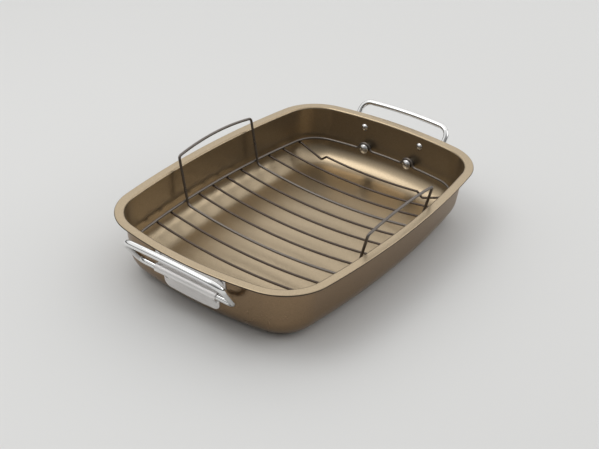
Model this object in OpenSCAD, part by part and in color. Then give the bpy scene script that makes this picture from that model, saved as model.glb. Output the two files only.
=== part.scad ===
// Roasting pan with two fold-down rod handles and a lift-out wire rack.
// Origin: centre of the flat base, +Z up, +X along the length towards the far handle.
// Seen from above, the rim is eight arcs that meet on common tangents.

/* [Pan] */
// Length over the rim, without the handles
rim_length = 432; // [400:1:460]
// Width over the rim
rim_width = 308; // [290:1:330]
// Height of the rim above the base
pan_depth = 76.5; // [72:0.5:84]
// How far the middle of each short side stands out from the outline's box corners
end_bow = 25.5; // [22:0.5:30]
// How far the middle of each long side stands out from the outline's box corners
side_bow = 21; // [17:0.5:25]
// Plan radius of the rim's corners
corner_radius = 65; // [60:1:72]
// Thickness of the sheet
sheet = 1.2; // [0.8:0.1:1.6]
// Slope of the walls from upright, in degrees
wall_draft = 6; // [4:0.5:7]
// Outside radius between wall and base
base_radius = 32; // [26:1:34]
// From the rim's edge in to the outer face of the wall, at the height of the rim
flange_width = 10.6; // [9:0.1:12]
// Smaller radius of the bend between flange and wall
rim_bend = 1.8; // [1:0.1:3]
// Width of the hem folded under the rim's edge
hem_width = 6; // [4:0.5:8]

/* [Handles] */
// Diameter of the handle rod
rod_diameter = 7.5; // [6.5:0.1:8]
// Width of a handle between the centrelines of its legs
loop_width = 134; // [126:1:144]
// From the pivot line to the middle of the grip
loop_height = 47.5; // [43:0.5:48]
// How far the grip is arched
grip_rise = 3; // [1:0.5:5]
// Bend radius at the grip's two corners
grip_corner = 14; // [11:0.5:18]
// Bend radius where the legs turn in to the pivot line
foot_corner = 9; // [7:0.5:11]
// Gap between the rod's two ends, inside the bracket
rod_end_gap = 3; // [1:0.5:6]
// From the rim down to the pivot line
pivot_drop = 29.5; // [28.5:0.5:32.5]
// From the wall's outer face out to the pivot line
pivot_standoff = 5; // [4.6:0.1:6]
// How far a handle leans out from upright at rest, in degrees
handle_lean = 35; // [25:1:60]

/* [Brackets] */
// Thickness of the bracket's sheet
strap = 1.5; // [1.2:0.1:2]
// Length of the channel that holds the rod
channel_length = 86; // [80:1:92]
// From each upper rivet out to the end of the upper flange
upper_margin = 6.25; // [5.25:0.25:8.75]
// From each stud out to the end of the lower flange
lower_margin = 5.5; // [5:0.25:7]
// From the rim down to the bracket's top edge
bracket_drop = 7.5; // [6.5:0.5:8.5]
// Height of the bracket
bracket_height = 47; // [43:0.5:49]
// Corner radius of the upper flange
upper_corner = 4; // [2:0.5:6]
// Corner radius of the lower flange
lower_corner = 8; // [4:0.5:10]
// Height of the pressed rib across the lower flange
rib_height = 0.5; // [0.3:0.1:0.8]

/* [Rivets and studs] */
// Spacing of each bracket's two upper rivets
rivet_spacing = 86.5; // [84:0.5:88]
// From the rim down to the upper rivets
rivet_drop = 14.5; // [13.5:0.5:15.5]
// Radius of an upper rivet's shank
rivet_shank = 2.5; // [2:0.1:3]
// Radius of an upper rivet's domed head, inside the pan
rivet_head = 4.8; // [4:0.1:5.5]
// Thickness of that head's straight edge
rivet_edge = 0.4; // [0.2:0.1:0.8]
// Height of its dome
rivet_dome = 2.2; // [1.5:0.1:3]
// Radius of the flat outer head
rivet_button = 4; // [3.4:0.1:4.5]
// Thickness of the flat outer head
rivet_button_height = 1.2; // [0.8:0.1:1.6]
// Spacing of the two rack studs at each end
stud_spacing = 68; // [64:0.5:70]
// Radius of a stud's shoulder, on which the rack hangs
stud_radius = 5.7; // [5.2:0.1:6]
// Radius of a stud's domed head
stud_head = 6.6; // [6.4:0.1:7.4]
// Thickness of the head's straight edge
stud_edge = 1; // [0.6:0.1:1.5]
// Height of the head's dome
stud_dome = 2.4; // [1.5:0.1:3]
// Radius of the tail that is riveted through the wall and the bracket
stud_tail = 2.9; // [2.6:0.1:3.2]
// Radius of the hollow in the tail's outer end
stud_hollow = 2.2; // [1.6:0.1:2.3]
// Radius of the lip rolled over at the tail's end
stud_lip = 3.7; // [3.4:0.1:4]

/* [Rack] */
// Diameter of the rack's edge wire
ring_wire = 3.5; // [3:0.1:4]
// Diameter of the cross wires
cross_wire = 3; // [2.6:0.1:3.3]
// Diameter of the lifting wire
lift_wire = 3.4; // [3:0.1:3.8]
// From the rim's edge in to the edge wire's centreline
ring_inset = 24.5; // [24:0.1:26]
// From the rim down to the edge wire
ring_drop = 41; // [39.5:0.5:42.5]
// How far the studs' axes lie above the edge wire
stud_lift = 1.6; // [0.5:0.1:2.5]
// Radius of the bends beside each arch over a stud
arch_foot = 6; // [4:0.5:7]
// Spacing of the cross wires
wire_pitch = 27.5; // [26:0.5:28]
// From the edge wire down to the middle of the bowed wires
wire_sag = 15.5; // [12:0.5:17]
// From the end of the rim in to each end wire
end_wire_inset = 61; // [58:1:66]
// From the edge wire down to the middle of the end wires
end_wire_sag = 14; // [12:0.5:15.5]
// From the edge wire down to the end wires' kinked feet
foot_sag = 17; // [16.5:0.5:19]
// From the middle of the rack out to each kinked foot
foot_place = 80; // [74:1:86]
// From the edge wire up to the lifting loops' corners
lift_reach = 58.5; // [54.5:1:74.5]
// How far the lifting loops lean out, in degrees
lift_lean = 12; // [8:0.5:13]
// How far the top of each lifting loop is arched
lift_rise = 6; // [3:0.5:9]
// Bend radius at the top corners of the lifting loops
lift_corner = 4.5; // [4:0.5:8]
// Bend radius at the bottom of the lifting loops
lift_foot = 6; // [4:0.5:8]

/* [Hidden] */

// Clearances: rod in its channel, riveted faces, rack on its studs, welded wires
run_gap = 0.08;
seat_gap = 0.05;
hang_gap = 0.35;
weld_gap = 0.04;
// How far every cut runs past what it cuts
overrun = 1;
// How much thinner a stretch of the sheet is drawn than the one that it ends in
skin = 0.01;
// Collar at a wire's joint: half its length, and how far it stands proud of the wire
collar_half = 0.15;
collar_skin = 0.04;
// How far the sheet's corners, and its straight stretches, run past the points where arcs end, in degrees
corner_lap = 0.3;
bend_lap = 1;
// Facets of a round, of a wire's section, and of the long shallow arcs
around = 96;
wire_around = 32;
far_around = 720;

// Even places across the rack, of which the lifting wire takes one on each side of the middle
place_count = 10;
lift_step = 2.5;
// How far a cross wire's end stands out past the edge wire
wire_end = 1.6;
// Level stretch of an end wire under the edge wire, and its bend
wire_shelf = 3;
wire_bend = 8;
// Length of the rise from each kinked foot to the end wire's bowed part, and its bend
foot_run = 8;
foot_bend = 3;
// Width of the pressed rib, and the depth of the hollow in a stud's tail
rib_width = 2.2;
hollow_depth = 3.5;
lip_height = 0.7;

half_length = rim_length / 2;
half_width = rim_width / 2;
end_arc = bow_radius(half_width, end_bow);
side_arc = bow_radius(half_length, side_bow);
end_centre = [half_length - end_arc, 0];
side_centre = [0, half_width - side_arc];
corner_centre = meeting_point(end_centre, end_arc - corner_radius, side_centre, side_arc - corner_radius);
end_turn = direction(end_centre, corner_centre);
side_turn = direction(side_centre, corner_centre);
corner_turn = side_turn - end_turn;
flip_x = [-corner_centre[0], corner_centre[1]];
// The rim's arcs in order: centre, radius, first angle and turn
rim_arcs = [[end_centre, end_arc, -end_turn, 2 * end_turn],
    [corner_centre, corner_radius, end_turn, corner_turn],
    [side_centre, side_arc, side_turn, 180 - 2 * side_turn],
    [flip_x, corner_radius, 180 - side_turn, corner_turn],
    [-end_centre, end_arc, 180 - end_turn, 2 * end_turn],
    [-corner_centre, corner_radius, 180 + end_turn, corner_turn],
    [-side_centre, side_arc, 180 + side_turn, 180 - 2 * side_turn],
    [-flip_x, corner_radius, 360 - side_turn, corner_turn]];

// Heights above the base
pivot_height = pan_depth - pivot_drop;
bracket_top = pan_depth - bracket_drop;
bracket_bottom = bracket_top - bracket_height;
rivet_height = pan_depth - rivet_drop;
ring_height = pan_depth - ring_drop;
stud_height = ring_height + stud_lift;
wire_height = ring_height - wire_sag;
end_wire_height = ring_height - end_wire_sag;
foot_height = ring_height - foot_sag;

// The base's fillet, which ends below the studs' shoulders, and the section of the wall:
// centres of the fillet and of the bend under the flange
fillet_radius = min(base_radius, (stud_height - stud_radius) / (1 - sin(wall_draft)));
fillet_x = -wall_inset(fillet_radius) - fillet_radius / cos(wall_draft);
bend_z = pan_depth - sheet - rim_bend;
bend_x = -wall_inset(bend_z) + rim_bend / cos(wall_draft);
floor_strip = fillet_radius / 4;
floor_steps = 4;

// Places on the end walls
upper_flange = rivet_spacing + 2 * upper_margin;
lower_flange = stud_spacing + 2 * lower_margin;
cut_length = max(channel_length, upper_flange) + 2 * overrun;
pivot_x = half_length - wall_inset(pivot_height) + pivot_standoff;
bore_radius = rod_diameter / 2 + run_gap;
channel_radius = bore_radius + strap;
rivet_turn = asin(rivet_spacing / 2 / (end_arc - wall_inset(rivet_height)));
ring_end = end_arc - ring_inset;
stud_turn = asin(stud_spacing / 2 / ring_end);
// Along a stud, from the edge wire's line out to the wall's outer face, and in to the head
stud_out = (ring_inset - wall_inset(stud_height)) * cos(wall_draft);
stud_in = ring_wire / 2 + hang_gap + stud_head * tan(wall_draft);
// The arch that the edge wire makes over a stud: radius, half width, and its half angle
arch_radius = stud_radius + hang_gap + ring_wire / 2;
arch_reach = sqrt((arch_radius + arch_foot) ^ 2 - (stud_lift - arch_foot) ^ 2);
arch_turn = asin(arch_reach / ring_end);

// Cross wires, lifting wire and end wires
weld_reach = (ring_wire + cross_wire) / 2 + weld_gap;
weld_height = ring_height - weld_reach;
wire_bow = weld_reach + bow_radius(ring_y(0), weld_height - wire_height);
place_steps = [for (i = [0 : place_count - 1]) i - (place_count - 1) / 2];
wire_places = [for (i = place_steps) if (abs(i) != lift_step) i * wire_pitch];
lift_x = lift_step * wire_pitch;
end_wire_place = half_length - end_wire_inset;
lift_y = ring_y(lift_x) - ((ring_wire + lift_wire) / 2 + weld_gap) / cos(lift_lean);
lift_leg = lift_reach / cos(lift_lean);
// The lifting wire's bowed run: its centre, its half angle, and the centre of the bend at its end
lift_centre = [0, wire_height + wire_bow];
lift_offset = lift_y * cos(lift_lean) + (lift_centre[1] - ring_height) * sin(lift_lean) - lift_foot;
lift_turn = asin(lift_offset / (wire_bow - lift_foot)) - lift_lean;
lift_bend = lift_centre + ray(lift_turn - 90, wire_bow - lift_foot);
lift_start = (lift_bend[1] - ring_height - lift_foot * sin(lift_lean)) / cos(lift_lean);
// The end wires' bow between their feet: half its width, its half angle and where its tangents meet
level_reach = foot_place - foot_run;
level_turn = asin((level_reach - 2 * foot_bend) / wire_bow);
level_apex = end_wire_height - wire_bow * (1 / cos(level_turn) - 1);

function bow_radius(half, bow) = (half * half + bow * bow) / (2 * bow);
function direction(a, b) = atan2(b[1] - a[1], b[0] - a[0]);
// Where two circles meet in the quadrant of positive x and y
function meeting_point(a, ra, b, rb) =
    let (d = norm(b - a), e = (b - a) / d, x = (ra * ra - rb * rb + d * d) / (2 * d),
        h = sqrt(ra * ra - x * x), p = a + e * x, q = [e[1], -e[0]] * h)
    (p + q)[0] > (p - q)[0] ? p + q : p - q;
// From the rim's edge in to the outer face of the wall at a height
function wall_inset(z) = flange_width + (pan_depth - z) * tan(wall_draft);
// The edge wire's distance from the long middle line at x
function ring_y(x) =
    let (c = abs(x) < side_centre[0] + (side_arc - ring_inset) * cos(side_turn) ? side_centre : corner_centre,
        r = (c == side_centre ? side_arc : corner_radius) - ring_inset)
    c[1] + sqrt(r * r - (abs(x) - c[0]) ^ 2);
function ray(angle, length) = [cos(angle), sin(angle)] * length;

// Part of a flat ring between two angles
module sector(outer, inner, from, to) {
    reach = 2 * outer;
    intersection() {
        difference() {
            circle(r = outer, $fn = around);
            circle(r = inner, $fn = around);
        }
        polygon([[0, 0], ray(from, reach), ray((from + to) / 2, reach), ray(to, reach)]);
    }
}

// Section of the pan's sheet, with the rim's edge at x = 0 and the inside at minus x.
// Every face is drawn a little inside its place, and the straight stretches a skin further,
// so that neighbouring stretches end inside each other.
module pan_section(thin) {
    straight = thin + skin;
    fillet = [fillet_x, fillet_radius];
    bend = [bend_x, bend_z];
    seam = -wall_draft - bend_lap;
    translate([fillet_x - floor_strip, straight])
        square([floor_strip + skin, sheet - 2 * straight]);
    translate(fillet)
        sector(fillet_radius - thin, fillet_radius - sheet + thin, -90, -wall_draft);
    polygon([fillet + ray(seam, fillet_radius - straight),
        bend - ray(seam, rim_bend + straight),
        bend - ray(seam, rim_bend + sheet - straight),
        fillet + ray(seam, fillet_radius - sheet + straight)]);
    translate(bend)
        sector(rim_bend + sheet - thin, rim_bend + thin, 90, 180 - wall_draft);
    translate([bend_x - skin, pan_depth - sheet + straight])
        square([skin - sheet - bend_x, sheet - 2 * straight]);
    // The hem: the edge is folded under and lies against the flange
    translate([-hem_width, pan_depth - 2 * sheet + straight])
        square([hem_width - sheet, 2 * sheet - 2 * straight]);
    translate([-sheet, pan_depth - sheet])
        circle(r = sheet - thin, $fn = around);
}

// Sweeps the pan's section round the rim
module swept_sheet() {
    for (a = rim_arcs) {
        corner = a[1] == corner_radius;
        lap = corner ? corner_lap : 0;
        translate(a[0])
            rotate_extrude(angle = a[3] + 2 * lap, start = a[2] - lap, $fn = corner ? around : far_around)
                translate([a[1], 0])
                    pan_section(corner ? 0 : 2 * skin);
    }
}

// Flat floor, whose edge lies in the middle of the swept floor strip
module floor_plate() {
    inset = floor_strip / 2 - fillet_x;
    steps = [0 : 1 / floor_steps : 1 - 1 / floor_steps];
    linear_extrude(sheet)
        polygon([for (a = rim_arcs, t = steps) a[0] + ray(a[2] + t * a[3], a[1] - inset)]);
}

// Cone on the wall's outer face at the far end, set out by a gap
module wall_cone(gap) {
    out = gap / cos(wall_draft);
    translate(end_centre)
        cylinder(h = pan_depth, r1 = end_arc - wall_inset(0) + out,
            r2 = end_arc - wall_inset(pan_depth) + out, $fn = far_around);
}

// Puts a part on a line square to the far end's wall, with Z pointing into the pan
module on_wall(turn, inset, height) {
    translate(end_centre)
        rotate([0, 0, turn])
            translate([end_arc - inset, 0, height])
                rotate([0, wall_draft - 90, 0])
                    children();
}

// Turns a part of the far end to the near end
module near_end() {
    rotate([0, 0, 180])
        children();
}

// Domed head with its flat face at z = 0 and a straight edge
module domed_head(radius, edge, height) {
    ball = (radius * radius + height * height) / (2 * height);
    intersection() {
        translate([0, 0, edge + height - ball])
            sphere(r = ball, $fn = around);
        cylinder(h = edge + height + overrun, r = radius, $fn = around);
    }
}

// Straight wire between two points
module run(a, b, diameter) {
    u = (b - a) / norm(b - a);
    translate(a)
        rotate([0, acos(u[2]), atan2(u[1], u[0])])
            cylinder(h = norm(b - a), d = diameter, $fn = wire_around);
}

// Bent wire in the XY plane: an arc about a centre. A thin collar closes each of its joints.
module arc(centre, radius, start, turn, diameter, collars = [1, 2]) {
    translate(centre) {
        rotate_extrude(angle = turn, start = start, $fn = radius > corner_radius ? far_around : around)
            translate([radius, 0])
                circle(d = diameter, $fn = wire_around);
        for (i = [0, 1])
            if (collars[i] > 0)
                translate(flat(ray(start + i * turn, radius)))
                    rotate([90, 0, start + i * turn])
                        translate([0, 0, -collars[i] * collar_half])
                            cylinder(h = 2 * collars[i] * collar_half,
                                r = diameter / 2 + collars[i] * collar_skin, $fn = wire_around);
    }
}

// Bent wire through the points of a path in the XY plane, with a bend radius at each inner point
module bent(path, bends, diameter) {
    last = len(path) - 1;
    unit = [for (i = [0 : last - 1]) (path[i + 1] - path[i]) / norm(path[i + 1] - path[i])];
    turn = [for (i = [1 : last - 1])
        asin(unit[i - 1][0] * unit[i][1] - unit[i - 1][1] * unit[i][0])];
    trim = [0, for (i = [1 : last - 1]) bends[i - 1] * tan(abs(turn[i - 1]) / 2), 0];
    for (i = [0 : last - 1])
        run(flat(path[i] + unit[i] * trim[i]), flat(path[i + 1] - unit[i] * trim[i + 1]), diameter);
    for (i = [1 : last - 1]) {
        side = turn[i - 1] > 0 ? 1 : -1;
        left = [-unit[i - 1][1], unit[i - 1][0]] * side;
        arc(path[i] - unit[i - 1] * trim[i] + left * bends[i - 1], bends[i - 1],
            atan2(-left[1], -left[0]) + min(0, turn[i - 1]), abs(turn[i - 1]), diameter);
    }
}
function flat(p) = [p[0], p[1], 0];

// Arched bar with two round corners, in the XY plane, and its legs down to a height.
// The corners' outline meets the legs' lines at y = top.
module arched_loop(half, top, rise, corner, leg_from, diameter) {
    big = bow_radius(half, rise);
    middle = top + rise - big;
    corner_y = middle + sqrt((big - corner) ^ 2 - (half - corner) ^ 2);
    tilt = atan2(corner_y - middle, half - corner);
    arc([0, middle], big, tilt, 180 - 2 * tilt, diameter);
    arc([half - corner, corner_y], corner, 0, tilt, diameter);
    arc([corner - half, corner_y], corner, 180 - tilt, tilt, diameter);
    for (i = [-1, 1])
        run([i * half, leg_from, 0], [i * half, corner_y, 0], diameter);
}

// Pan: one drawn sheet with a flat base, drafted walls and a hemmed flange, pierced for eight rivets
module pan_body() {
    color([0.76, 0.67, 0.53])
        difference() {
            union() {
                swept_sheet();
                floor_plate();
            }
            for (k = [0, 180], i = [-1, 1])
                rotate([0, 0, k]) {
                    on_wall(i * rivet_turn, wall_inset(rivet_height), rivet_height)
                        translate([0, 0, -sheet])
                            cylinder(h = 3 * sheet, r = rivet_shank + seat_gap, $fn = around);
                    on_wall(i * stud_turn, ring_inset, stud_height)
                        translate([0, 0, -stud_out - sheet])
                            cylinder(h = 3 * sheet, r = stud_tail + seat_gap, $fn = around);
                }
        }
}

// Outline of a bracket's flange, seen from the end of the pan, with round corners
module flange_outline(width, bottom, top, corner) {
    for (i = [-1, 1], z = [bottom + corner, top - corner])
        translate([i * (width / 2 - corner), z])
            circle(r = corner, $fn = around);
    translate([-width / 2, bottom + corner])
        square([width, top - bottom - 2 * corner]);
    translate([corner - width / 2, bottom])
        square([width - 2 * corner, top - bottom]);
}

// Stretches a flat outline along X through the far end's wall
module through_end() {
    translate([half_length - 2 * flange_width - base_radius, 0, 0])
        rotate([90, 0, 90])
            linear_extrude(2 * flange_width + base_radius)
                children();
}

// Bracket: a pressed strap with two flanges on the wall and a half-round channel for the rod
module bracket() {
    color([0.78, 0.78, 0.78])
        difference() {
            union() {
                intersection() {
                    through_end() {
                        flange_outline(upper_flange, pivot_height - upper_corner, bracket_top, upper_corner);
                        flange_outline(lower_flange, bracket_bottom, pivot_height, lower_corner);
                    }
                    wall_cone(seat_gap + strap);
                }
                translate([pivot_x, channel_length / 2, pivot_height])
                    rotate([90, 0, 0])
                        cylinder(h = channel_length, r = channel_radius, $fn = around);
                translate([pivot_x - 2 * channel_radius, -channel_length / 2, pivot_height - channel_radius])
                    cube([2 * channel_radius, channel_length, 2 * channel_radius]);
                // Rib pressed across the lower flange, between the studs
                intersection() {
                    translate([0, -stud_spacing / 2 + 2 * stud_lip, stud_height - rib_width / 2])
                        cube([half_length, stud_spacing - 4 * stud_lip, rib_width]);
                    wall_cone(seat_gap + strap + rib_height);
                }
            }
            wall_cone(seat_gap);
            translate([pivot_x, cut_length / 2, pivot_height])
                rotate([90, 0, 0])
                    cylinder(h = cut_length, r = bore_radius, $fn = around);
            translate([pivot_x - 3 * channel_radius, -cut_length / 2, pivot_height - bore_radius])
                cube([3 * channel_radius, cut_length, 2 * bore_radius]);
            for (i = [-1, 1]) {
                on_wall(i * rivet_turn, wall_inset(rivet_height), rivet_height)
                    translate([0, 0, -2 * strap])
                        cylinder(h = 3 * strap, r = rivet_shank + seat_gap, $fn = around);
                on_wall(i * stud_turn, ring_inset, stud_height)
                    translate([0, 0, -stud_out - 2 * strap])
                        cylinder(h = 3 * strap, r = stud_tail + seat_gap, $fn = around);
            }
        }
}

// The two upper rivets of a bracket: domed inside the pan, flat outside
module bracket_rivets() {
    inner = sheet + seat_gap;
    outer = -strap - 2 * seat_gap;
    color([0.8, 0.8, 0.8])
        for (i = [-1, 1])
            on_wall(i * rivet_turn, wall_inset(rivet_height), rivet_height) {
                translate([0, 0, inner])
                    domed_head(rivet_head, rivet_edge, rivet_dome);
                translate([0, 0, outer - rivet_button_height / 2])
                    cylinder(h = inner - outer + (rivet_button_height + rivet_dome) / 2, r = rivet_shank,
                        $fn = around);
                translate([0, 0, outer - rivet_button_height])
                    cylinder(h = rivet_button_height, r = rivet_button, $fn = around);
            }
}

// The two studs of an end: shouldered rivets that carry the rack and hold the bracket's lower flange
module rack_studs() {
    inner = sheet + seat_gap - stud_out;
    outer = -stud_out - strap - 2 * seat_gap;
    color([0.8, 0.8, 0.8])
        for (i = [-1, 1])
            on_wall(i * stud_turn, ring_inset, stud_height)
                difference() {
                    union() {
                        translate([0, 0, inner])
                            cylinder(h = stud_in + stud_edge - inner, r = stud_radius, $fn = around);
                        translate([0, 0, stud_in])
                            domed_head(stud_head, stud_edge, stud_dome);
                        translate([0, 0, outer - lip_height / 2])
                            cylinder(h = inner + sheet - outer, r = stud_tail, $fn = around);
                        translate([0, 0, outer - lip_height])
                            cylinder(h = lip_height, r = stud_lip, $fn = around);
                    }
                    translate([0, 0, outer - lip_height - overrun])
                        cylinder(h = hollow_depth + overrun, r = stud_hollow, $fn = around);
                }
}

// Handle: one rod bent to a loop, its two ends inside the bracket's channel
module handle() {
    half = loop_width / 2;
    color([0.86, 0.86, 0.86])
        translate([pivot_x, 0, pivot_height])
            rotate([0, handle_lean, 0])
                rotate([90, 0, 90]) {
                    arched_loop(half, loop_height - grip_rise, grip_rise, grip_corner, foot_corner,
                        rod_diameter);
                    for (i = [-1, 1]) {
                        arc([i * (half - foot_corner), foot_corner], foot_corner,
                            i > 0 ? -90 : 180, 90, rod_diameter);
                        run([i * rod_end_gap / 2, 0, 0], [i * (half - foot_corner), 0, 0], rod_diameter);
                    }
                }
}

// Edge wire of the rack, with an arch over each of the four studs
module rack_ring() {
    end_stretches = [[-end_turn, -stud_turn - arch_turn],
        [arch_turn - stud_turn, stud_turn - arch_turn],
        [stud_turn + arch_turn, end_turn]];
    color([0.42, 0.40, 0.37]) {
        translate([0, 0, ring_height])
            for (a = rim_arcs)
                if (a[1] == end_arc)
                    for (s = end_stretches)
                        arc(a[0], ring_end, a[2] + end_turn + s[0], s[1] - s[0], ring_wire);
                else
                    arc(a[0], a[1] - ring_inset, a[2], a[3], ring_wire);
        for (k = [0, 180], i = [-1, 1])
            rotate([0, 0, k])
                translate(end_centre)
                    rotate([0, 0, i * stud_turn])
                        translate([ring_end * cos(arch_turn), 0, ring_height])
                            rotate([90, 0, 90])
                                arch();
    }
}

// Arch over a stud in the XY plane, with the edge wire's line at y = 0
module arch() {
    tilt = atan2(arch_foot - stud_lift, arch_reach);
    arc([0, stud_lift], arch_radius, tilt, 180 - 2 * tilt, ring_wire, [2, 1]);
    arc([arch_reach, arch_foot], arch_foot, 180 + tilt, 90 - tilt, ring_wire);
    arc([-arch_reach, arch_foot], arch_foot, 270, 90 - tilt, ring_wire);
}

// Cross wire at x: one shallow bow, welded under the edge wire near both ends
module cross_wire_at(x) {
    centre = ring_height + sqrt((wire_bow - weld_reach) ^ 2 - ring_y(x) ^ 2);
    half = asin((ring_y(x) + wire_end) / wire_bow);
    color([0.36, 0.34, 0.31])
        translate([x, 0, centre])
            rotate([90, 0, 90])
                arc([0, 0], wire_bow, -90 - half, 2 * half, cross_wire, [0, 0]);
}

// End wire at x: bowed between two kinked feet, and level where it is welded
module end_wire_at(x) {
    tip = ring_y(x) + wire_end;
    shelf = ring_y(x) - wire_shelf;
    rise = level_apex + level_reach * tan(level_turn);
    color([0.36, 0.34, 0.31])
        translate([x, 0, 0])
            rotate([90, 0, 90])
                bent([[-tip, weld_height], [-shelf, weld_height], [-foot_place, foot_height],
                    [-level_reach, rise], [0, level_apex], [level_reach, rise],
                    [foot_place, foot_height], [shelf, weld_height], [tip, weld_height]],
                    [wire_bend, foot_bend, foot_bend, wire_bow, foot_bend, foot_bend, wire_bend], cross_wire);
}

// Lifting wire: one closed wire, two bowed runs across the rack and a leaning loop at each side
module lifting_wire() {
    color([0.42, 0.40, 0.37]) {
        for (i = [-1, 1])
            translate([i * lift_x, 0, 0])
                rotate([90, 0, 90]) {
                    arc(lift_centre, wire_bow, -90 - lift_turn, 2 * lift_turn, lift_wire, [2, 2]);
                    for (j = [0, 1])
                        mirror([j, 0, 0])
                            arc(lift_bend, lift_foot, lift_turn - 90, 90 - lift_lean - lift_turn, lift_wire);
                }
        for (k = [0, 180])
            rotate([0, 0, k])
                translate([0, lift_y, ring_height])
                    rotate([-lift_lean, 0, 0])
                        rotate([90, 0, 0])
                            arched_loop(lift_x, lift_leg, lift_rise, lift_corner, lift_start, lift_wire);
    }
}

pan_body();
near_end() bracket();  // near_bracket
bracket();  // far_bracket
near_end() bracket_rivets();  // near_bracket_rivets
bracket_rivets();  // far_bracket_rivets
near_end() rack_studs();  // near_rack_studs
rack_studs();  // far_rack_studs
near_end() handle();  // near_handle
handle();  // far_handle
rack_ring();
cross_wire_at(wire_places[0]);  // cross_wire_1
cross_wire_at(wire_places[1]);  // cross_wire_2
cross_wire_at(wire_places[2]);  // cross_wire_3
cross_wire_at(wire_places[3]);  // cross_wire_4
cross_wire_at(wire_places[4]);  // cross_wire_5
cross_wire_at(wire_places[5]);  // cross_wire_6
cross_wire_at(wire_places[6]);  // cross_wire_7
cross_wire_at(wire_places[7]);  // cross_wire_8
end_wire_at(-end_wire_place);  // near_end_wire
end_wire_at(end_wire_place);  // far_end_wire
lifting_wire();
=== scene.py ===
import math

import bpy
from mathutils import Matrix, Quaternion, Vector


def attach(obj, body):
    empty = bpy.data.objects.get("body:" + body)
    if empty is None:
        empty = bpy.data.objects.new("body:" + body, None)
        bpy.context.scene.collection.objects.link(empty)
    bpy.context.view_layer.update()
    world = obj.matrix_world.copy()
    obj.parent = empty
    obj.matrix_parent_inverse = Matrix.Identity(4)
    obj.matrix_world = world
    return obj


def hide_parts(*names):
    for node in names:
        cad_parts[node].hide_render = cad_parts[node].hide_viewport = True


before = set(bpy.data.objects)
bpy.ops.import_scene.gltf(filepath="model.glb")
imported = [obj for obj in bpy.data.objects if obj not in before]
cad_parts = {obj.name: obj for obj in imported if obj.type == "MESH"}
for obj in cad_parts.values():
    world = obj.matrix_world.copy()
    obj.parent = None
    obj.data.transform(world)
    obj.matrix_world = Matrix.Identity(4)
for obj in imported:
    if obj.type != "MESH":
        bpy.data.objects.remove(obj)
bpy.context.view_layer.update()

# Camera: stands off the near end of the pan, to the right of its length, and looks
# down on it by about 32 degrees.
CAMERA_PLACE = (-0.8508, -0.5959, 0.6670)
CAMERA_TURN = (58.0264, -2.3325, -53.4187)
CAMERA_LENS, SENSOR_WIDTH = 60.06, 36
CLIP_FROM, CLIP_TO = 0.05, 60

camera_data = bpy.data.cameras.new("camera")
camera_data.lens = CAMERA_LENS
camera_data.sensor_width = SENSOR_WIDTH
camera_data.clip_start = CLIP_FROM
camera_data.clip_end = CLIP_TO
camera = bpy.data.objects.new("camera", camera_data)
camera.location = CAMERA_PLACE
camera.rotation_euler = [math.radians(angle) for angle in CAMERA_TURN]
bpy.context.scene.collection.objects.link(camera)
bpy.context.scene.camera = camera
bpy.context.scene.view_settings.view_transform = "Standard"

# Floor and lights: a plain pale floor and backdrop, and a white studio tent that is dark
# along the horizon and on the camera's side, with one softbox over the left side, one at
# the back and one low on the right. The camera sees the backdrop in the tent's place.
FLOOR_SIZE, FLOOR_DROP = 12, 0.0003
FLOOR_COLOUR = (0.72, 0.72, 0.71, 1)
FLOOR_ROUGHNESS, FLOOR_SHEEN = 0.9, 0.1
BACKDROP_COLOUR = (0.70, 0.70, 0.69, 1)
TENT = ((0, 0.02), (0.14, 0.05), (0.3, 0.72), (0.55, 0.92), (1, 1.0))
DARK_SIDE = (-0.82, -0.57, 0)
DARK_FROM, DARK_TO, DARK_LEVEL = 0.25, 0.8, 0.3

bpy.ops.object.select_all(action="DESELECT")
bpy.ops.mesh.primitive_plane_add(size=FLOOR_SIZE, location=(0, 0, -FLOOR_DROP))
floor = bpy.context.object
floor.name = "floor"
floor_paint = bpy.data.materials.new("floor_paint")
floor_paint.use_nodes = True
floor_shader = floor_paint.node_tree.nodes["Principled BSDF"]
floor_shader.inputs["Base Color"].default_value = FLOOR_COLOUR
floor_shader.inputs["Roughness"].default_value = FLOOR_ROUGHNESS
floor_shader.inputs["Specular IOR Level"].default_value = FLOOR_SHEEN
floor.data.materials.append(floor_paint)

room = bpy.data.worlds.new("room")
room.use_nodes = True
room_nodes, room_links = room.node_tree.nodes, room.node_tree.links
tent = room_nodes["Background"]
direction = room_nodes.new("ShaderNodeTexCoord")
parts = room_nodes.new("ShaderNodeSeparateXYZ")
tent_ramp = room_nodes.new("ShaderNodeValToRGB")
while len(tent_ramp.color_ramp.elements) < len(TENT):
    tent_ramp.color_ramp.elements.new(0.5)
for stop, (place, level) in zip(tent_ramp.color_ramp.elements, TENT):
    stop.position = place
    stop.color = (level, level, level, 1)
room_links.new(direction.outputs["Generated"], parts.inputs["Vector"])
room_links.new(parts.outputs["Z"], tent_ramp.inputs["Fac"])
room_links.new(tent_ramp.outputs["Color"], tent.inputs["Color"])
towards = room_nodes.new("ShaderNodeVectorMath")
towards.operation = "DOT_PRODUCT"
towards.inputs[1].default_value = DARK_SIDE
dimming = room_nodes.new("ShaderNodeMapRange")
dimming.interpolation_type = "SMOOTHSTEP"
for socket, value in (("From Min", DARK_FROM), ("From Max", DARK_TO), ("To Min", 1), ("To Max", DARK_LEVEL)):
    dimming.inputs[socket].default_value = value
room_links.new(direction.outputs["Generated"], towards.inputs[0])
room_links.new(towards.outputs["Value"], dimming.inputs["Value"])
room_links.new(dimming.outputs["Result"], tent.inputs["Strength"])
backdrop = room_nodes.new("ShaderNodeBackground")
backdrop.inputs["Color"].default_value = BACKDROP_COLOUR
light_path = room_nodes.new("ShaderNodeLightPath")
surroundings = room_nodes.new("ShaderNodeMixShader")
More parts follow.
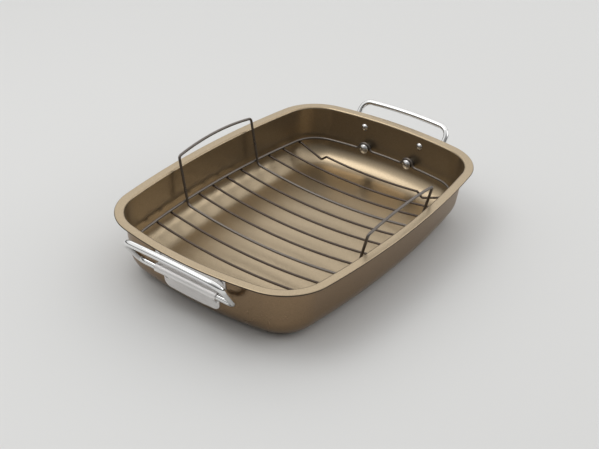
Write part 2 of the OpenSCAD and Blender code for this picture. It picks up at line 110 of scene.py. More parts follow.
room_links.new(light_path.outputs["Is Camera Ray"], surroundings.inputs["Fac"])
room_links.new(tent.outputs["Background"], surroundings.inputs[1])
room_links.new(backdrop.outputs["Background"], surroundings.inputs[2])
room_links.new(surroundings.outputs["Shader"], room_nodes["World Output"].inputs["Surface"])
bpy.context.scene.world = room


def hang_lamp(name, place, aim, width, depth, power):
    """A softbox at a place, turned to face a point."""
    lamp_data = bpy.data.lights.new(name, "AREA")
    lamp_data.shape = "RECTANGLE"
    lamp_data.size = width
    lamp_data.size_y = depth
    lamp_data.energy = power
    lamp = bpy.data.objects.new(name, lamp_data)
    lamp.location = place
    lamp.rotation_euler = (Vector(aim) - Vector(place)).to_track_quat("-Z", "Y").to_euler()
    bpy.context.scene.collection.objects.link(lamp)


hang_lamp("softbox_over", (-0.45, 0.55, 1.5), aim=(0, 0, 0), width=0.9, depth=0.9, power=5)
hang_lamp("softbox_back", (1.5, 0.6, 1.2), aim=(0, 0, 0.05), width=3.0, depth=1.2, power=4)
hang_lamp("softbox_right", (1.3, -1.35, 0.68), aim=(0, 0.1, 0.02), width=1.6, depth=0.5, power=3.6)

# Pan: one drawn sheet of steel with a champagne-coloured non-stick coating. Its outward
# and downward faces carry a darker copy of the coating, painted shade, and the fold of its
# hem a near-black copy, painted shade under the flange. The section is drawn once and
# swept round a quarter of the rim, which is mirrored and floored.
RIM_LENGTH, RIM_WIDTH, PAN_DEPTH = 0.432, 0.308, 0.0765
END_BOW, SIDE_BOW, CORNER_RADIUS = 0.0255, 0.021, 0.065
SHEET, WALL_DRAFT, BASE_RADIUS = 0.0012, 6, 0.032
FLANGE_WIDTH, RIM_BEND, HEM_WIDTH = 0.0106, 0.0018, 0.006
FLOOR_STRIP = 0.004
FILLET_STEPS, LOWER_BEND_STEPS, HEM_STEPS, UPPER_BEND_STEPS = 20, 8, 14, 10
ARC_STEPS, CORNER_STEPS = 26, 40
SPECK, FINE_GAP, MERGE_GAP, SEAM_GAP = 0.001, 0.000001, 0.000002, 0.00002
FINE_DETAIL, CLOUD_DETAIL, BUMP_STRENGTH = 3, 4, 0.5
CLOUD_SPAN, TONE_SPAN = (0.3, 0.7), (0.35, 0.65)
SHADED_OUTSIDE_SLOT, FOLD_SHADE_SLOT = 1, 2
TOP_FACING, UNDER_FACING, FOLD_SHADE_SHEETS = 0.7, -0.5, 2.05


def bow_radius(half, bow):
    """Radius of an arc over a chord, from half the chord and the arc's rise."""
    return (half * half + bow * bow) / (2 * bow)


def ray(degrees, length):
    """A point in a plane, from its direction and distance."""
    return Vector((math.cos(math.radians(degrees)), math.sin(math.radians(degrees)))) * length


def meeting_point(a, radius_a, b, radius_b):
    """Where two circles meet in the quadrant of positive x and y."""
    gap = (b - a).length
    along = (b - a) / gap
    reach = (radius_a**2 - radius_b**2 + gap**2) / (2 * gap)
    across = Vector((along.y, -along.x)) * math.sqrt(radius_a**2 - reach**2)
    return max((a + along * reach + side * across for side in (1, -1)), key=lambda p: p.x)


def wall_inset(height):
    """From the rim's edge in to the outer face of the wall at a height."""
    return FLANGE_WIDTH + (PAN_DEPTH - height) * math.tan(draft)


draft = math.radians(WALL_DRAFT)
half_length, half_width = RIM_LENGTH / 2, RIM_WIDTH / 2
end_arc = bow_radius(half_width, END_BOW)
side_arc = bow_radius(half_length, SIDE_BOW)
end_centre = Vector((half_length - end_arc, 0))
side_centre = Vector((0, half_width - side_arc))
corner_centre = meeting_point(end_centre, end_arc - CORNER_RADIUS, side_centre, side_arc - CORNER_RADIUS)
end_turn = math.degrees(math.atan2(corner_centre.y - end_centre.y, corner_centre.x - end_centre.x))
side_turn = math.degrees(math.atan2(corner_centre.y - side_centre.y, corner_centre.x - side_centre.x))


def start_vertex(name, place):
    """A new piece, in edit mode, that holds one selected vertex."""
    bpy.ops.object.select_all(action="DESELECT")
    bpy.ops.mesh.primitive_plane_add(size=SPECK, location=place)
    piece = bpy.context.object
    piece.name = piece.data.name = name
    bpy.ops.object.transform_apply()
    bpy.ops.object.mode_set(mode="EDIT")
    bpy.ops.mesh.select_all(action="SELECT")
    bpy.ops.mesh.merge(type="CENTER")
    return piece


def draw(shift):
    """Draws what is selected out along a straight line."""
    bpy.ops.mesh.extrude_region_move(TRANSFORM_OT_translate={"value": shift})


def sweep(centre, axis, degrees, steps):
    """Draws what is selected round an axis, by the right-hand rule."""
    bpy.ops.mesh.spin(steps=steps, angle=-math.radians(degrees), center=centre, axis=axis)


def draw_section(start, strokes):
    """Draws a section in the XZ plane from its first point. A stroke is a point to draw
    to, or a centre with the degrees to turn and the number of steps."""
    pen = Vector(start)
    for stroke in strokes:
        point = Vector(stroke[:2])
        if len(stroke) == 2:
            draw((point.x - pen.x, 0, point.y - pen.y))
            pen = point
        else:
            degrees, steps = stroke[2:]
            sweep((point.x, 0, point.y), (0, -1, 0), degrees, steps)
            arm = pen - point
            pen = point + Matrix.Rotation(math.radians(degrees), 2) @ arm


def finish_mesh(smooth_angle, merge=MERGE_GAP):
    """Merges doubles, turns all faces outwards, leaves edit mode and smooths all edges
    that are no sharper than an angle."""
    bpy.ops.mesh.select_all(action="SELECT")
    bpy.ops.mesh.remove_doubles(threshold=merge)
    bpy.ops.mesh.normals_make_consistent(inside=False)
    bpy.ops.object.mode_set(mode="OBJECT")
    bpy.ops.object.shade_smooth_by_angle(angle=math.radians(smooth_angle))


fillet_x = half_length - wall_inset(BASE_RADIUS) - BASE_RADIUS / math.cos(draft)
bend_z = PAN_DEPTH - SHEET - RIM_BEND
bend_x = half_length - wall_inset(bend_z) + RIM_BEND / math.cos(draft)
fillet = Vector((fillet_x, BASE_RADIUS))
bend = Vector((bend_x, bend_z))
wall_side, flange_side = 180 - WALL_DRAFT, 90
pan = start_vertex("pan_shell", (fillet_x - FLOOR_STRIP, 0, 0))
draw_section((fillet_x - FLOOR_STRIP, 0), [
    (fillet_x, 0),
    (*fillet, 90 - WALL_DRAFT, FILLET_STEPS),
    tuple(bend + ray(wall_side, RIM_BEND)),
    (*bend, flange_side - wall_side, LOWER_BEND_STEPS),
    (half_length - HEM_WIDTH, PAN_DEPTH - SHEET),
    (half_length - HEM_WIDTH, PAN_DEPTH - 2 * SHEET),
    (half_length - SHEET, PAN_DEPTH - 2 * SHEET),
    (half_length - SHEET, PAN_DEPTH - SHEET, 180, HEM_STEPS),
    (bend_x, PAN_DEPTH),
    (*bend, wall_side - flange_side, UPPER_BEND_STEPS),
    tuple(fillet + ray(-WALL_DRAFT, BASE_RADIUS - SHEET)),
    (*fillet, WALL_DRAFT - 90, FILLET_STEPS),
    (fillet_x - FLOOR_STRIP, SHEET)])
bpy.ops.mesh.select_all(action="SELECT")
sweep((end_centre.x, 0, 0), (0, 0, 1), end_turn, ARC_STEPS)
sweep((corner_centre.x, corner_centre.y, 0), (0, 0, 1), side_turn - end_turn, CORNER_STEPS)
sweep((0, side_centre.y, 0), (0, 0, 1), 90 - side_turn, ARC_STEPS)
bpy.ops.object.mode_set(mode="OBJECT")
quarter = pan.modifiers.new("quarter", "MIRROR")
quarter.use_axis = (True, True, False)
quarter.merge_threshold = SEAM_GAP
bpy.ops.object.modifier_apply(modifier="quarter")
bpy.ops.object.mode_set(mode="EDIT")
bpy.ops.mesh.select_all(action="SELECT")
bpy.ops.mesh.remove_doubles(threshold=MERGE_GAP)
bpy.ops.mesh.fill_holes(sides=0)
finish_mesh(smooth_angle=32)
even = pan.modifiers.new("even", "WEIGHTED_NORMAL")
even.keep_sharp = True
bpy.ops.object.modifier_apply(modifier="even")


def speckle_group():
    """Fine grain of a sprayed, rolled or brushed surface, and slow clouds in it. Stretch
    scales the place along each axis, so that a small value draws the grain out."""
    group = bpy.data.node_groups.new("grain", "ShaderNodeTree")
    for name, kind in (("Fine Scale", "Float"), ("Cloud Scale", "Float"), ("Stretch", "Vector")):
        group.interface.new_socket(name, in_out="INPUT", socket_type="NodeSocket" + kind)
    for name in ("Fine", "Cloud"):
        group.interface.new_socket(name, in_out="OUTPUT", socket_type="NodeSocketFloat")
    nodes, links = group.nodes, group.links
    entry, leave = nodes.new("NodeGroupInput"), nodes.new("NodeGroupOutput")
    place = nodes.new("ShaderNodeTexCoord")
    drawn = nodes.new("ShaderNodeVectorMath")
    drawn.operation = "MULTIPLY"
    links.new(place.outputs["Object"], drawn.inputs[0])
    links.new(entry.outputs["Stretch"], drawn.inputs[1])
    for source, target, detail, vector in (
            ("Fine Scale", "Fine", FINE_DETAIL, drawn.outputs["Vector"]),
            ("Cloud Scale", "Cloud", CLOUD_DETAIL, place.outputs["Object"])):
        noise = nodes.new("ShaderNodeTexNoise")
        noise.inputs["Detail"].default_value = detail
        links.new(vector, noise.inputs["Vector"])
        links.new(entry.outputs[source], noise.inputs["Scale"])
        links.new(noise.outputs["Fac"], leave.inputs[target])
    return group


grain = speckle_group()


def grained_metal(name, colour, metallic, roughness, spread, grain_scale, cloud_scale, depth,
                  tones=None, stretch=(1, 1, 1)):
    """A new material with the grain group's bump. Its roughness varies by the spread with
    the clouds, and its colour between two tones with the grain, where they are given."""
    material = bpy.data.materials.new(name)
    material.use_nodes = True
    nodes, links = material.node_tree.nodes, material.node_tree.links
    shader = nodes["Principled BSDF"]
    shader.inputs["Base Color"].default_value = (*colour, 1)
    shader.inputs["Metallic"].default_value = metallic
    shader.inputs["Roughness"].default_value = roughness
    source = nodes.new("ShaderNodeGroup")
    source.node_tree = grain
    source.inputs["Fine Scale"].default_value = grain_scale
    source.inputs["Cloud Scale"].default_value = cloud_scale
    source.inputs["Stretch"].default_value = stretch
    rough = nodes.new("ShaderNodeMapRange")
    rough.inputs["From Min"].default_value, rough.inputs["From Max"].default_value = CLOUD_SPAN
    rough.inputs["To Min"].default_value = roughness - spread
    rough.inputs["To Max"].default_value = roughness + spread
    links.new(source.outputs["Cloud"], rough.inputs["Value"])
    links.new(rough.outputs["Result"], shader.inputs["Roughness"])
    bump = nodes.new("ShaderNodeBump")
    bump.inputs["Strength"].default_value = BUMP_STRENGTH
    bump.inputs["Distance"].default_value = depth
    links.new(source.outputs["Fine"], bump.inputs["Height"])
    links.new(bump.outputs["Normal"], shader.inputs["Normal"])
    if tones:
        ramp = nodes.new("ShaderNodeValToRGB")
        for stop, place, tone in zip(ramp.color_ramp.elements, TONE_SPAN, tones):
            stop.position = place
            stop.color = (*tone, 1)
        links.new(source.outputs["Fine"], ramp.inputs["Fac"])
        links.new(ramp.outputs["Color"], shader.inputs["Base Color"])
    return material


pan.data.materials.append(grained_metal(
    "champagne_coating", (0.415, 0.331, 0.222), metallic=0.95, roughness=0.30, spread=0.03,
    grain_scale=1500, cloud_scale=7, depth=0.00006, tones=((0.355, 0.281, 0.186), (0.484, 0.387, 0.262))))
# A darker copy of the coating for the outward and downward faces: painted shade.
pan.data.materials.append(grained_metal(
    "outside_coating_painted_shade", (0.27, 0.184, 0.109), metallic=0.95, roughness=0.30, spread=0.03,
    grain_scale=1500, cloud_scale=7, depth=0.00006, tones=((0.231, 0.158, 0.093), (0.315, 0.215, 0.127))))
# A near-black copy of the coating for the underside of the flange and the lower half of the hem: painted
# shade under the fold.
pan.data.materials.append(grained_metal(
    "fold_painted_shade", (0.075, 0.055, 0.038), metallic=0.8, roughness=0.50, spread=0.05,
    grain_scale=1500, cloud_scale=20, depth=0.00006))
# Outward and downward faces take the darker copy, painted shade; those high in the hem's fold take the
# near-black copy, painted shade under the flange.
for face in pan.data.polygons:
    looks_out = face.normal.x * face.center.x + face.normal.y * face.center.y > 0
    if (looks_out or face.normal.z < UNDER_FACING) and face.normal.z < TOP_FACING:
        in_fold_shade = face.center.z > PAN_DEPTH - FOLD_SHADE_SHEETS * SHEET
        face.material_index = FOLD_SHADE_SLOT if in_fold_shade else SHADED_OUTSIDE_SLOT
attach(pan, "root")
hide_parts("pan_body")

# Brackets: one pressed strap of satin stainless steel at each end, with two flanges on
# the wall and a half-round channel that holds the handle rod. Each is a merged copy of
# its CAD mesh with its pressed edges rounded.
STRAP_SOFTENING, FLAT_ANGLE = 0.0004, 0.5


def soften_edges(piece, width, segments, edge_angle, smooth_angle):
    """Rounds a piece's edges that are sharper than the edge angle and smooths it."""
    soften = piece.modifiers.new("soften", "BEVEL")
    soften.width = width
    soften.segments = segments
    soften.limit_method = "ANGLE"
    soften.angle_limit = math.radians(edge_angle)
    bpy.ops.object.modifier_apply(modifier="soften")
    bpy.ops.object.shade_smooth_by_angle(angle=math.radians(smooth_angle))


bracket_finish = grained_metal(
    "satin_steel", (0.88, 0.86, 0.84), metallic=0.8, roughness=0.45, spread=0.04, grain_scale=1800,
    cloud_scale=30, depth=0.00001, tones=((0.84, 0.82, 0.80), (0.92, 0.90, 0.88)), stretch=(1, 0.03, 1))
for node in ("near_bracket", "far_bracket"):
    bpy.ops.object.select_all(action="DESELECT")
    strap = bpy.data.objects.new(node + "_strap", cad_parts[node].data.copy())
    strap.matrix_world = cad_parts[node].matrix_world
    bpy.context.scene.collection.objects.link(strap)
    bpy.context.view_layer.objects.active = strap
    strap.select_set(True)
    bpy.ops.object.transform_apply()
    bpy.ops.object.mode_set(mode="EDIT")
    bpy.ops.mesh.select_all(action="SELECT")
    bpy.ops.mesh.remove_doubles(threshold=FINE_GAP)
    bpy.ops.mesh.dissolve_limited(angle_limit=math.radians(FLAT_ANGLE))
    finish_mesh(smooth_angle=30, merge=FINE_GAP)
    soften_edges(strap, STRAP_SOFTENING, segments=3, edge_angle=40, smooth_angle=35)
    strap.data.materials.clear()
    strap.data.materials.append(bracket_finish)
    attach(strap, "root")
    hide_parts(node)

# Rivets and studs: turned and polished stainless steel. Two domed rivets hold each upper
# flange, and two shouldered studs hold the lower flange and carry the rack. The studs'
# shoulders and the hollows of their tails are painted in a dark steel, painted shade.
RIVET_SPACING, RIVET_HEIGHT, RIVET_SHANK, RIVET_HEAD = 0.0865, 0.062, 0.0025, 0.0048
RIVET_EDGE, RIVET_DOME, RIVET_BUTTON, BUTTON_HEIGHT = 0.0004, 0.0022, 0.004, 0.0012
STUD_SPACING, STUD_RADIUS, STUD_HEAD, STUD_EDGE, STUD_DOME = 0.068, 0.0057, 0.0066, 0.001, 0.0024
STUD_TAIL, STUD_HOLLOW, STUD_LIP, HOLLOW_DEPTH, LIP_HEIGHT = 0.0029, 0.0022, 0.0037, 0.0035, 0.0007
STUD_LIFT, HANG_GAP, SEAT_GAP, STRAP = 0.0016, 0.00035, 0.00005, 0.0015
RING_WIRE, RING_INSET, RING_HEIGHT = 0.0035, 0.0245, 0.0355
TURNED_STEPS, DOME_STEPS, TURNED_SOFTENING = 64, 12, 0.00025
PAINTED_SHADE_SLOT, BOTTOM_SLACK, SIDE_SLACK = 1, 0.1, 0.02


def turned(name, outline, dome, turn, inset, height, end):
    """A turned piece: a half outline of (radius, height) points is drawn, with a dome of
    (radius, height) points on top, spun, softened and set square to the wall."""
    radius, top, rise = dome
    ball = (radius * radius + rise * rise) / (2 * rise)
    arch_angle = math.degrees(math.asin(radius / ball))
    piece = start_vertex(name, (outline[0][0], 0, outline[0][1]))
    draw_section(outline[0], [*outline[1:], (0, top + rise - ball, arch_angle, DOME_STEPS)])
    bpy.ops.mesh.select_all(action="SELECT")
    sweep((0, 0, 0), (0, 0, 1), 360, TURNED_STEPS)
    finish_mesh(smooth_angle=35, merge=FINE_GAP)
    soften_edges(piece, TURNED_SOFTENING, segments=3, edge_angle=35, smooth_angle=50)
    stand = Matrix.Translation((end_centre.x, 0, 0)) @ Matrix.Rotation(math.radians(turn), 4, "Z")
    stand = stand @ Matrix.Translation((end_arc - inset, 0, height))
    stand = stand @ Matrix.Rotation(math.radians(WALL_DRAFT - 90), 4, "Y")
    if end < 0:
        stand = Matrix.Rotation(math.pi, 4, "Z") @ stand
    piece.matrix_world = stand
    bpy.ops.object.transform_apply()
    return piece


rivet_finish = grained_metal("polished_steel", (0.78, 0.77, 0.76), metallic=1, roughness=0.20,
                             spread=0.03, grain_scale=900, cloud_scale=40, depth=0.000004)
# A dark steel for the studs' shoulders and tail hollows: painted shade.
painted_shade_finish = grained_metal("painted_shade_steel", (0.10, 0.095, 0.09), metallic=0.7, roughness=0.55,
                            spread=0.05, grain_scale=900, cloud_scale=40, depth=0.00001)
ring_end = end_arc - RING_INSET
stud_turn = math.degrees(math.asin(STUD_SPACING / 2 / ring_end))
rivet_turn = math.degrees(math.asin(RIVET_SPACING / 2 / (end_arc - wall_inset(RIVET_HEIGHT))))
stud_height = RING_HEIGHT + STUD_LIFT
stud_out = (RING_INSET - wall_inset(stud_height)) * math.cos(draft)
stud_in = RING_WIRE / 2 + HANG_GAP + STUD_HEAD * math.tan(draft)
inner, outer = SHEET + SEAT_GAP, -STRAP - 2 * SEAT_GAP
rivet_outline = [(0, outer - BUTTON_HEIGHT), (RIVET_BUTTON, outer - BUTTON_HEIGHT), (RIVET_BUTTON, outer),
                 (RIVET_SHANK, outer), (RIVET_SHANK, inner), (RIVET_HEAD, inner),
                 (RIVET_HEAD, inner + RIVET_EDGE)]
lip = outer - stud_out - LIP_HEIGHT
stud_outline = [(0, lip + HOLLOW_DEPTH), (STUD_HOLLOW, lip + HOLLOW_DEPTH), (STUD_HOLLOW, lip),
                (STUD_LIP, lip), (STUD_LIP, lip + LIP_HEIGHT), (STUD_TAIL, lip + LIP_HEIGHT),
                (STUD_TAIL, inner - stud_out), (STUD_RADIUS, inner - stud_out), (STUD_RADIUS, stud_in),
                (STUD_HEAD, stud_in), (STUD_HEAD, stud_in + STUD_EDGE)]
rivet_place = (rivet_turn, wall_inset(RIVET_HEIGHT), RIVET_HEIGHT)
stud_place = (stud_turn, RING_INSET, stud_height)


def is_painted_shade(face, end):
    """Whether a face of a stud is on its shoulder or lies in its tail's hollow, the places painted dark as
    shade.
    """
    stand = Vector((end_centre.x, 0, stud_height))
    spot = Vector((face.center.x * end, face.center.y * end, face.center.z)) - stand
    along = Matrix.Rotation(math.radians(stud_turn), 3, "Z") @ Vector((1, 0, 0))
    if spot.y < 0:
        along.y = -along.y
    square = along * math.cos(draft) - Vector((0, 0, math.sin(draft)))
    spot -= along * ring_end
    depth = -spot.dot(square)
    radius = (spot + square * depth).length
    in_hollow = depth < lip + HOLLOW_DEPTH * (1 + BOTTOM_SLACK) and radius < STUD_HOLLOW * (1 + SIDE_SLACK)
    between = inner - stud_out < depth < stud_in - TURNED_SOFTENING
    return in_hollow or between and STUD_RADIUS * (1 - SIDE_SLACK) < radius


fasteners = (
    ("bracket_rivets", rivet_outline, (RIVET_HEAD, inner + RIVET_EDGE, RIVET_DOME), rivet_place),
    ("rack_studs", stud_outline, (STUD_HEAD, stud_in + STUD_EDGE, STUD_DOME), stud_place))
for node_end, end in (("near", -1), ("far", 1)):
    for kind, outline, dome, (turn, inset, height) in fasteners:
        pair = [turned(f"{node_end}_{kind}_{side}", outline, dome, sign * turn, inset, height, end)
                for side, sign in (("right", -1), ("left", 1))]
        for fastener in pair:
            fastener.data.materials.append(rivet_finish)
            fastener.data.materials.append(painted_shade_finish)
            # The studs' shoulder and hollow faces take the dark steel: painted shade.
            for face in fastener.data.polygons:
                if kind == "rack_studs" and is_painted_shade(face, end):
                    face.material_index = PAINTED_SHADE_SLOT
            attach(fastener, "root")
        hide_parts(f"{node_end}_{kind}")
        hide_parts(f"{node_end}_{kind}")

# Handles: one polished stainless rod each, bent to a loop whose two ends nearly meet
# inside the bracket's channel. Each turns up and down about the channel.
ROD, LOOP_WIDTH, LOOP_HEIGHT, GRIP_RISE = 0.0075, 0.134, 0.0475, 0.003
GRIP_CORNER, FOOT_CORNER, ROD_END_GAP = 0.014, 0.009, 0.003
PIVOT_HEIGHT, PIVOT_STANDOFF, HANDLE_LEAN = 0.047, 0.005, 35
BEND_STEP_DEGREES, BEND_STEP_LENGTH, END_ROUNDING = 8, 0.008, 0.3


def bend_wire(name, diameter, start, heading, axis, strokes, segments):
    """Bends a wire as a wire bender does: it is fed forward, bent to a radius about the
    axis, and rolled about itself between bends. Yaw is a small kink with no radius."""
    place, heading, axis = Vector(start), Vector(heading).normalized(), Vector(axis).normalized()
    bpy.ops.object.select_all(action="DESELECT")
    bpy.ops.mesh.primitive_circle_add(
        vertices=segments, radius=diameter / 2, location=place,
        rotation=heading.to_track_quat("Z", "Y").to_euler())
    wire = bpy.context.object
    wire.name = wire.data.name = name
    bpy.ops.object.transform_apply()
    bpy.ops.object.mode_set(mode="EDIT")
    bpy.ops.mesh.select_all(action="SELECT")
    for kind, *amount in strokes:
        if kind == "feed":
            draw(heading * amount[0])
            place = place + heading * amount[0]
        elif kind == "bend":
            radius, degrees = amount
            side = axis.cross(heading) * (1 if degrees > 0 else -1)
            centre = place + side * radius
            length = radius * math.radians(abs(degrees))
            by_turn, by_length = abs(degrees) / BEND_STEP_DEGREES, length / BEND_STEP_LENGTH
            sweep(centre, axis, degrees, max(2, math.ceil(by_turn), math.ceil(by_length)))
            turn = Quaternion(axis, math.radians(degrees))
            place = centre + turn @ (place - centre)
            heading = turn @ heading
        elif kind == "roll":
            axis = Quaternion(heading, math.radians(amount[0])) @ axis
        elif kind == "yaw":
            heading = Quaternion(axis, math.radians(amount[0])) @ heading
    bpy.ops.mesh.select_all(action="SELECT")
    bpy.ops.mesh.remove_doubles(threshold=SEAM_GAP)
    bpy.ops.mesh.fill_holes(sides=0)
    finish_mesh(smooth_angle=60)
    return wire


def round_ends(wire, diameter):
    """Rounds the two cut ends of a wire."""
    soften_edges(wire, diameter * END_ROUNDING, segments=4, edge_angle=60, smooth_angle=50)


def arched_top(half, top, rise, corner, leg_from):
    """Strokes up a leg, over an arched top with two round corners, and down again."""
    big = bow_radius(half, rise)
    middle = top + rise - big
    corner_y = middle + math.sqrt((big - corner) ** 2 - (half - corner) ** 2)
    tilt = math.degrees(math.atan2(corner_y - middle, half - corner))
    leg = ("feed", corner_y - leg_from)
    return [leg, ("bend", corner, tilt), ("bend", big, 180 - 2 * tilt), ("bend", corner, tilt), leg]


handle_finish = grained_metal("polished_rod", (0.84, 0.84, 0.83), metallic=1, roughness=0.05,
                              spread=0.015, grain_scale=900, cloud_scale=25, depth=0.000002)
pivot_x = half_length - wall_inset(PIVOT_HEIGHT) + PIVOT_STANDOFF
foot_strokes = [("bend", FOOT_CORNER, 90), ("feed", LOOP_WIDTH / 2 - FOOT_CORNER - ROD_END_GAP / 2)]
grip_strokes = arched_top(LOOP_WIDTH / 2, LOOP_HEIGHT - GRIP_RISE, GRIP_RISE, GRIP_CORNER, FOOT_CORNER)
lean = math.radians(HANDLE_LEAN)
for node, end in (("near_handle", -1), ("far_handle", 1)):
    along = Vector((0, end, 0))
    up = Vector((end * math.sin(lean), 0, math.cos(lean)))
    handle = bend_wire(
        node + "_rod", ROD, Vector((end * pivot_x, 0, PIVOT_HEIGHT)) + along * ROD_END_GAP / 2, along,
        along.cross(up), foot_strokes[::-1] + grip_strokes + foot_strokes, segments=40)
    round_ends(handle, ROD)
    handle.data.materials.append(handle_finish)
    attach(handle, node)
    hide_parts(node)

# Rack: an edge wire with an arch over each stud, bowed cross wires welded under it, two
# end wires with kinked feet, and one closed lifting wire with a leaning loop at each
# side. All are dark coated steel; the edge wire and the lifting wire take a greyer, lighter
# copy of the coating, a painted highlight.
CROSS_WIRE, LIFT_WIRE = 0.003, 0.0034
WIRE_HEIGHT, ARCH_FOOT, WELD_GAP = 0.020, 0.006, 0.00004
WIRE_PITCH, WIRE_PLACES, WIRE_END, WIRE_SHELF, WIRE_BEND = 0.0275, 10, 0.0016, 0.003, 0.008
END_WIRE_PLACE, END_WIRE_HEIGHT, FOOT_HEIGHT = 0.155, 0.0215, 0.0185
FOOT_PLACE, FOOT_RUN, FOOT_BEND = 0.080, 0.008, 0.003
LIFT_STEP, LIFT_HEIGHT, LIFT_LEAN, LIFT_RISE, LIFT_CORNER, LIFT_FOOT = 2.5, 0.094, 12, 0.006, 0.0045, 0.006

wire_finishes = {}
# The edge and lifting wires take a greyer, lighter copy of the coating: painted highlight.
for name, tones in (("dark_wire_coating", ((0.065, 0.048, 0.038), (0.125, 0.098, 0.08))),
                    ("wire_coating_painted_highlight", ((0.12, 0.105, 0.092), (0.22, 0.195, 0.175)))):
    wire_finishes[name] = grained_metal(name, tones[0], metallic=0.75, roughness=0.32, spread=0.05,
                                        grain_scale=2400, cloud_scale=60, depth=0.00005, tones=tones)


def ring_y(x):
    """The edge wire's distance from the long middle line at x."""
    on_side = abs(x) < side_centre.x + (side_arc - RING_INSET) * math.cos(math.radians(side_turn))
    centre, radius = (side_centre, side_arc) if on_side else (corner_centre, CORNER_RADIUS)
    return centre.y + math.sqrt((radius - RING_INSET) ** 2 - (abs(x) - centre.x) ** 2)


def keep_in_rack(wire, finish="dark_wire_coating"):
    """Gives a wire its coating and its place in the rack."""
    wire.data.materials.append(wire_finishes[finish])
    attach(wire, "rack")


arch_radius = STUD_RADIUS + HANG_GAP + RING_WIRE / 2
arch_reach = math.sqrt((arch_radius + ARCH_FOOT) ** 2 - (STUD_LIFT - ARCH_FOOT) ** 2)
arch_turn = math.degrees(math.asin(arch_reach / ring_end))
arch_tilt = math.degrees(math.atan2(ARCH_FOOT - STUD_LIFT, arch_reach))
arch = [("yaw", arch_turn), ("roll", -90),
        ("bend", ARCH_FOOT, -(90 - arch_tilt)), ("bend", arch_radius, 180 - 2 * arch_tilt),
        ("bend", ARCH_FOOT, -(90 - arch_tilt)), ("roll", 90), ("yaw", arch_turn)]
quarter_end = ("bend", ring_end, end_turn - stud_turn - arch_turn)
corner_bend = ("bend", CORNER_RADIUS - RING_INSET, side_turn - end_turn)
half_ring = [("bend", ring_end, stud_turn - arch_turn), *arch, quarter_end, corner_bend,
             ("bend", side_arc - RING_INSET, 180 - 2 * side_turn), corner_bend, quarter_end, *arch,
             ("bend", ring_end, stud_turn - arch_turn)]
ring = bend_wire("edge_wire", RING_WIRE, (half_length - RING_INSET, 0, RING_HEIGHT), (0, 1, 0), (0, 0, 1),
                 half_ring * 2, segments=20)
keep_in_rack(ring, "wire_coating_painted_highlight")
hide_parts("rack_ring")

weld_reach = (RING_WIRE + CROSS_WIRE) / 2 + WELD_GAP
weld_height = RING_HEIGHT - weld_reach
wire_bow = weld_reach + bow_radius(ring_y(0), weld_height - WIRE_HEIGHT)
pitches = [step - (WIRE_PLACES - 1) / 2 for step in range(WIRE_PLACES)]
places = [pitch * WIRE_PITCH for pitch in pitches if abs(pitch) != LIFT_STEP]
for number, x in enumerate(places, 1):
    centre_z = RING_HEIGHT + math.sqrt((wire_bow - weld_reach) ** 2 - ring_y(x) ** 2)
    half = math.asin((ring_y(x) + WIRE_END) / wire_bow)
    start = (x, -wire_bow * math.sin(half), centre_z - wire_bow * math.cos(half))
    cross = bend_wire(f"cross_wire_{number}_rod", CROSS_WIRE, start, (0, math.cos(half), -math.sin(half)),
                      (1, 0, 0), [("bend", wire_bow, 2 * math.degrees(half))], segments=16)
    round_ends(cross, CROSS_WIRE)
    keep_in_rack(cross)
    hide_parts(f"cross_wire_{number}")

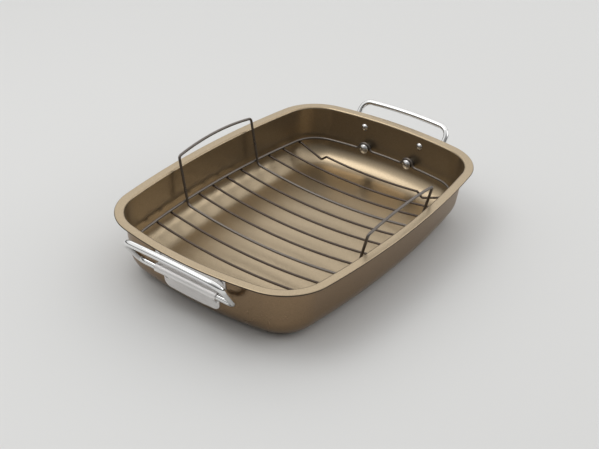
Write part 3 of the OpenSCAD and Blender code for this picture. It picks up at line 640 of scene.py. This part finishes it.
level_reach = FOOT_PLACE - FOOT_RUN
level_turn = math.asin((level_reach - 2 * FOOT_BEND) / wire_bow)
level_apex = END_WIRE_HEIGHT - wire_bow * (1 / math.cos(level_turn) - 1)
rise = math.atan2(level_apex + level_reach * math.tan(level_turn) - FOOT_HEIGHT, FOOT_RUN)
for node, x in (("near_end_wire", -END_WIRE_PLACE), ("far_end_wire", END_WIRE_PLACE)):
    tip, shelf = ring_y(x) + WIRE_END, ring_y(x) - WIRE_SHELF
    fall = math.atan2(weld_height - FOOT_HEIGHT, shelf - FOOT_PLACE)
    trims = [WIRE_BEND * math.tan(fall / 2), FOOT_BEND * math.tan((fall + rise) / 2),
             FOOT_BEND * math.tan((rise + level_turn) / 2)]
    out = [("feed", WIRE_END + WIRE_SHELF - trims[0]), ("bend", WIRE_BEND, -math.degrees(fall)),
           ("feed", (shelf - FOOT_PLACE) / math.cos(fall) - trims[0] - trims[1]),
           ("bend", FOOT_BEND, math.degrees(fall + rise)),
           ("feed", FOOT_RUN / math.cos(rise) - trims[1] - trims[2]),
           ("bend", FOOT_BEND, -math.degrees(rise + level_turn)),
           ("feed", 2 * FOOT_BEND / math.cos(level_turn) - trims[2])]
    strokes = out + [("bend", wire_bow, 2 * math.degrees(level_turn))] + out[::-1]
    end_wire = bend_wire(node + "_rod", CROSS_WIRE, (x, -tip, weld_height), (0, 1, 0), (1, 0, 0), strokes,
                         segments=16)
    round_ends(end_wire, CROSS_WIRE)
    keep_in_rack(end_wire)
    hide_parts(node)

lift_lean = math.radians(LIFT_LEAN)
lift_x = LIFT_STEP * WIRE_PITCH
lift_y = ring_y(lift_x) - ((RING_WIRE + LIFT_WIRE) / 2 + WELD_GAP) / math.cos(lift_lean)
lift_leg = (LIFT_HEIGHT - RING_HEIGHT) / math.cos(lift_lean)
lift_offset = (lift_y * math.cos(lift_lean) + (WIRE_HEIGHT + wire_bow - RING_HEIGHT) * math.sin(lift_lean)
               - LIFT_FOOT)
lift_turn = math.asin(lift_offset / (wire_bow - LIFT_FOOT)) - lift_lean
bend_height = WIRE_HEIGHT + wire_bow - (wire_bow - LIFT_FOOT) * math.cos(lift_turn)
lift_start = (bend_height - RING_HEIGHT - LIFT_FOOT * math.sin(lift_lean)) / math.cos(lift_lean)
lift_up = ("bend", LIFT_FOOT, 90 - LIFT_LEAN - math.degrees(lift_turn))
half_run = ("bend", wire_bow, math.degrees(lift_turn))
half_lift = [half_run, lift_up, ("roll", -90),
             *arched_top(lift_x, lift_leg, LIFT_RISE, LIFT_CORNER, lift_start),
             ("roll", 90), lift_up, half_run]
lifting = bend_wire("lifting_loops", LIFT_WIRE, (lift_x, 0, WIRE_HEIGHT), (0, 1, 0), (1, 0, 0),
                    half_lift * 2, segments=20)
keep_in_rack(lifting, "wire_coating_painted_highlight")
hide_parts("lifting_wire")
